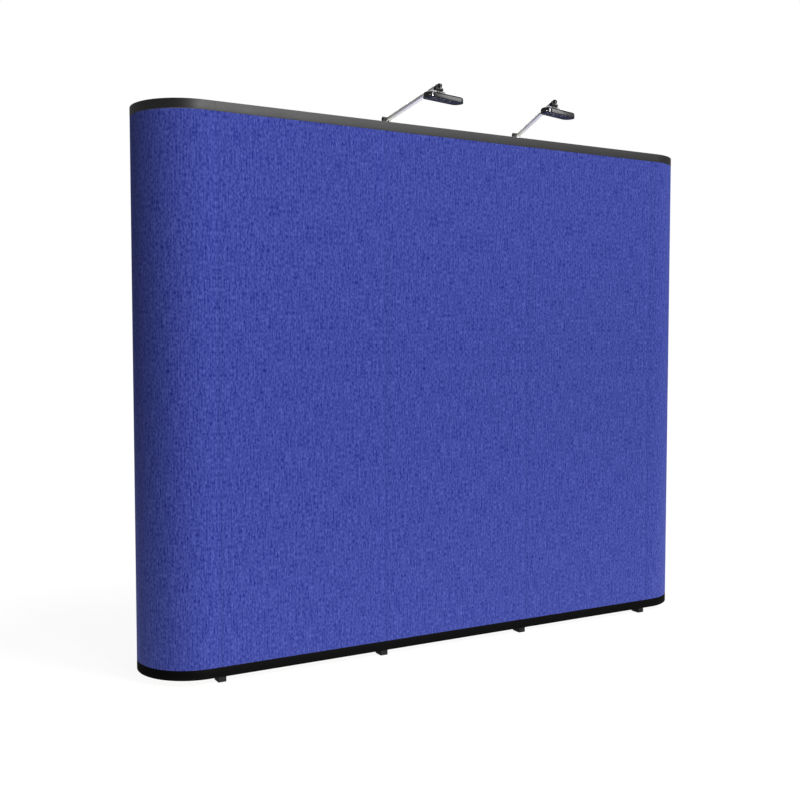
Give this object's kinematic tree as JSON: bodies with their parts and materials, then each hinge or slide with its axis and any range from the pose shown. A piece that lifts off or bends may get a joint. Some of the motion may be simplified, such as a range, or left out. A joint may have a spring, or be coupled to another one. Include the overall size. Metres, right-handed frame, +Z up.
{
  "type": "exhibition partition wall",
  "caption": "Free-standing exhibition partition wall with flat fabric panels, half-round ends, dark head and sole rails, an open box-post frame and clamp-on floodlights.",
  "frame": {"origin": "on the floor below the middle of the whole object's box, lamps included", "axes": "+Z up, +X along the wall, -Y out of the display face"},
  "size_m": [2.714, 0.8636, 2.3293],
  "materials": {
    "aluminium_frame": "satin anodised",
    "dark_rail": "satin dark grey",
    "black_plastic": "moulded black",
    "steel": "zinc plated",
    "magnet": "flexible magnet",
    "board": "thin plywood",
    "blue_fabric": "heathered blue loop cloth",
    "polished_arm": "polished",
    "reflector": "bright",
    "bulb": "frosted tube in ceramic holders",
    "lamp_glass": "clear",
    "black_lamp_enamel": "gloss black"
  },
  "bodies": {
    "frame": {"front_post_1": "aluminium_frame", "front_post_2": "aluminium_frame", "front_post_3": "aluminium_frame", "front_post_4": "aluminium_frame", "rear_post_1": "aluminium_frame", "rear_post_2": "aluminium_frame", "rear_post_3": "aluminium_frame", "rear_post_4": "aluminium_frame", "feet": "black_plastic", "post_caps": "black_plastic", "cross_ties": "aluminium_frame", "front_head_rail": "dark_rail", "front_sole_rail": "dark_rail", "rear_head_rail": "dark_rail", "rear_sole_rail": "dark_rail", "left_head_rail": "dark_rail", "right_head_rail": "dark_rail", "left_sole_rail": "dark_rail", "right_sole_rail": "dark_rail", "rail_splices": "steel", "rail_studs": "steel", "magnet_strips": "magnet", "lamp_1_clamp": "black_lamp_enamel", "lamp_2_clamp": "black_lamp_enamel"},
    "front_panel_1": {"front_panel_1_board": "board", "front_panel_1_cover": "blue_fabric"},
    "front_panel_2": {"front_panel_2_board": "board", "front_panel_2_cover": "blue_fabric"},
    "front_panel_3": {"front_panel_3_board": "board", "front_panel_3_cover": "blue_fabric"},
    "left_end_panel": {"left_end_board": "board", "left_end_cover": "blue_fabric"},
    "right_end_panel": {"right_end_board": "board", "right_end_cover": "blue_fabric"},
    "lamp_1_clamp_screw": {"lamp_1_clamp_screw": "black_plastic"},
    "lamp_1_stem": {"lamp_1_stem": "black_lamp_enamel"},
    "lamp_1_arm": {"lamp_1_arm": "polished_arm", "lamp_1_arm_tip": "black_lamp_enamel"},
    "lamp_1_arm_knob": {"lamp_1_arm_knob": "black_plastic"},
    "lamp_1_pan_knuckle": {"lamp_1_pan_knuckle": "black_lamp_enamel"},
    "lamp_1_head": {"lamp_1_bracket": "black_lamp_enamel", "lamp_1_housing": "black_lamp_enamel", "lamp_1_reflector": "reflector", "lamp_1_bulb": "bulb", "lamp_1_glass": "lamp_glass", "lamp_1_cable_gland": "black_plastic"},
    "lamp_1_head_knob": {"lamp_1_head_knob": "black_plastic"},
    "lamp_2_clamp_screw": {"lamp_2_clamp_screw": "black_plastic"},
    "lamp_2_stem": {"lamp_2_stem": "black_lamp_enamel"},
    "lamp_2_arm": {"lamp_2_arm": "polished_arm", "lamp_2_arm_tip": "black_lamp_enamel"},
    "lamp_2_arm_knob": {"lamp_2_arm_knob": "black_plastic"},
    "lamp_2_pan_knuckle": {"lamp_2_pan_knuckle": "black_lamp_enamel"},
    "lamp_2_head": {"lamp_2_bracket": "black_lamp_enamel", "lamp_2_housing": "black_lamp_enamel", "lamp_2_reflector": "reflector", "lamp_2_bulb": "bulb", "lamp_2_glass": "lamp_glass", "lamp_2_cable_gland": "black_plastic"},
    "lamp_2_head_knob": {"lamp_2_head_knob": "black_plastic"}
  },
  "joints": [
    {"name": "front_panel_1_pull", "type": "slide", "parent": "frame", "child": "front_panel_1", "axis": [0, -1, 0], "range_m": [0, 0.25]},
    {"name": "front_panel_2_pull", "type": "slide", "parent": "frame", "child": "front_panel_2", "axis": [0, -1, 0], "range_m": [0, 0.25]},
    {"name": "front_panel_3_pull", "type": "slide", "parent": "frame", "child": "front_panel_3", "axis": [0, -1, 0], "range_m": [0, 0.25]},
    {"name": "left_end_panel_pull", "type": "slide", "parent": "frame", "child": "left_end_panel", "axis": [-1, 0, 0], "range_m": [0, 0.25]},
    {"name": "right_end_panel_pull", "type": "slide", "parent": "frame", "child": "right_end_panel", "axis": [1, 0, 0], "range_m": [0, 0.25]},
    {"name": "lamp_1_clamp_screw_turn", "type": "hinge", "parent": "frame", "child": "lamp_1_clamp_screw", "pos_m": [-0.3778, 0.0228, 2.2223], "axis": [-1, 0, 0], "range_deg": [-360, 0]},
    {"name": "lamp_1_swivel", "type": "hinge", "parent": "frame", "child": "lamp_1_stem", "pos_m": [-0.3327, 0.0228, 2.266], "axis": [0, 0, 1], "range_deg": [-60, 60]},
    {"name": "lamp_1_arm_tilt", "type": "hinge", "parent": "lamp_1_stem", "child": "lamp_1_arm", "pos_m": [-0.3327, 0.0228, 2.266], "axis": [-1, 0, 0], "range_deg": [-6, 70]},
    {"name": "lamp_1_arm_knob_turn", "type": "hinge", "parent": "lamp_1_arm", "child": "lamp_1_arm_knob", "pos_m": [-0.3327, 0.0228, 2.266], "axis": [-1, 0, 0], "range_deg": [-360, 0]},
    {"name": "lamp_1_head_pan", "type": "hinge", "parent": "lamp_1_arm", "child": "lamp_1_pan_knuckle", "pos_m": [-0.3327, -0.39415, 2.31646], "axis": [0, 0, 1], "range_deg": [-60, 55]},
    {"name": "lamp_1_head_tilt", "type": "hinge", "parent": "lamp_1_pan_knuckle", "child": "lamp_1_head", "pos_m": [-0.3327, -0.39415, 2.30046], "axis": [0.9796, 0.2011, 0], "range_deg": [-45, 20]},
    {"name": "lamp_1_head_knob_turn", "type": "hinge", "parent": "lamp_1_head", "child": "lamp_1_head_knob", "pos_m": [-0.3327, -0.39415, 2.30046], "axis": [-0.9796, -0.2011, 0], "range_deg": [-360, 0]},
    {"name": "lamp_2_clamp_screw_turn", "type": "hinge", "parent": "frame", "child": "lamp_2_clamp_screw", "pos_m": [0.3778, 0.0228, 2.2223], "axis": [1, 0, 0], "range_deg": [-360, 0]},
    {"name": "lamp_2_swivel", "type": "hinge", "parent": "frame", "child": "lamp_2_stem", "pos_m": [0.3327, 0.0228, 2.266], "axis": [0, 0, 1], "range_deg": [-45, 74]},
    {"name": "lamp_2_arm_tilt", "type": "hinge", "parent": "lamp_2_stem", "child": "lamp_2_arm", "pos_m": [0.3327, 0.0228, 2.266], "axis": [-0.9686, 0.2487, 0], "range_deg": [-6, 70]},
    {"name": "lamp_2_arm_knob_turn", "type": "hinge", "parent": "lamp_2_arm", "child": "lamp_2_arm_knob", "pos_m": [0.3327, 0.0228, 2.266], "axis": [-0.9686, 0.2487, 0], "range_deg": [-360, 0]},
    {"name": "lamp_2_head_pan", "type": "hinge", "parent": "lamp_2_arm", "child": "lamp_2_pan_knuckle", "pos_m": [0.22919, -0.38033, 2.32227], "axis": [0, 0, 1], "range_deg": [-60, 40]},
    {"name": "lamp_2_head_tilt", "type": "hinge", "parent": "lamp_2_pan_knuckle", "child": "lamp_2_head", "pos_m": [0.22919, -0.38033, 2.30627], "axis": [0.969, 0.247, 0], "range_deg": [-45, 20]},
    {"name": "lamp_2_head_knob_turn", "type": "hinge", "parent": "lamp_2_head", "child": "lamp_2_head_knob", "pos_m": [0.22919, -0.38033, 2.30627], "axis": [-0.969, -0.247, 0], "range_deg": [-360, 0]}
  ]
}
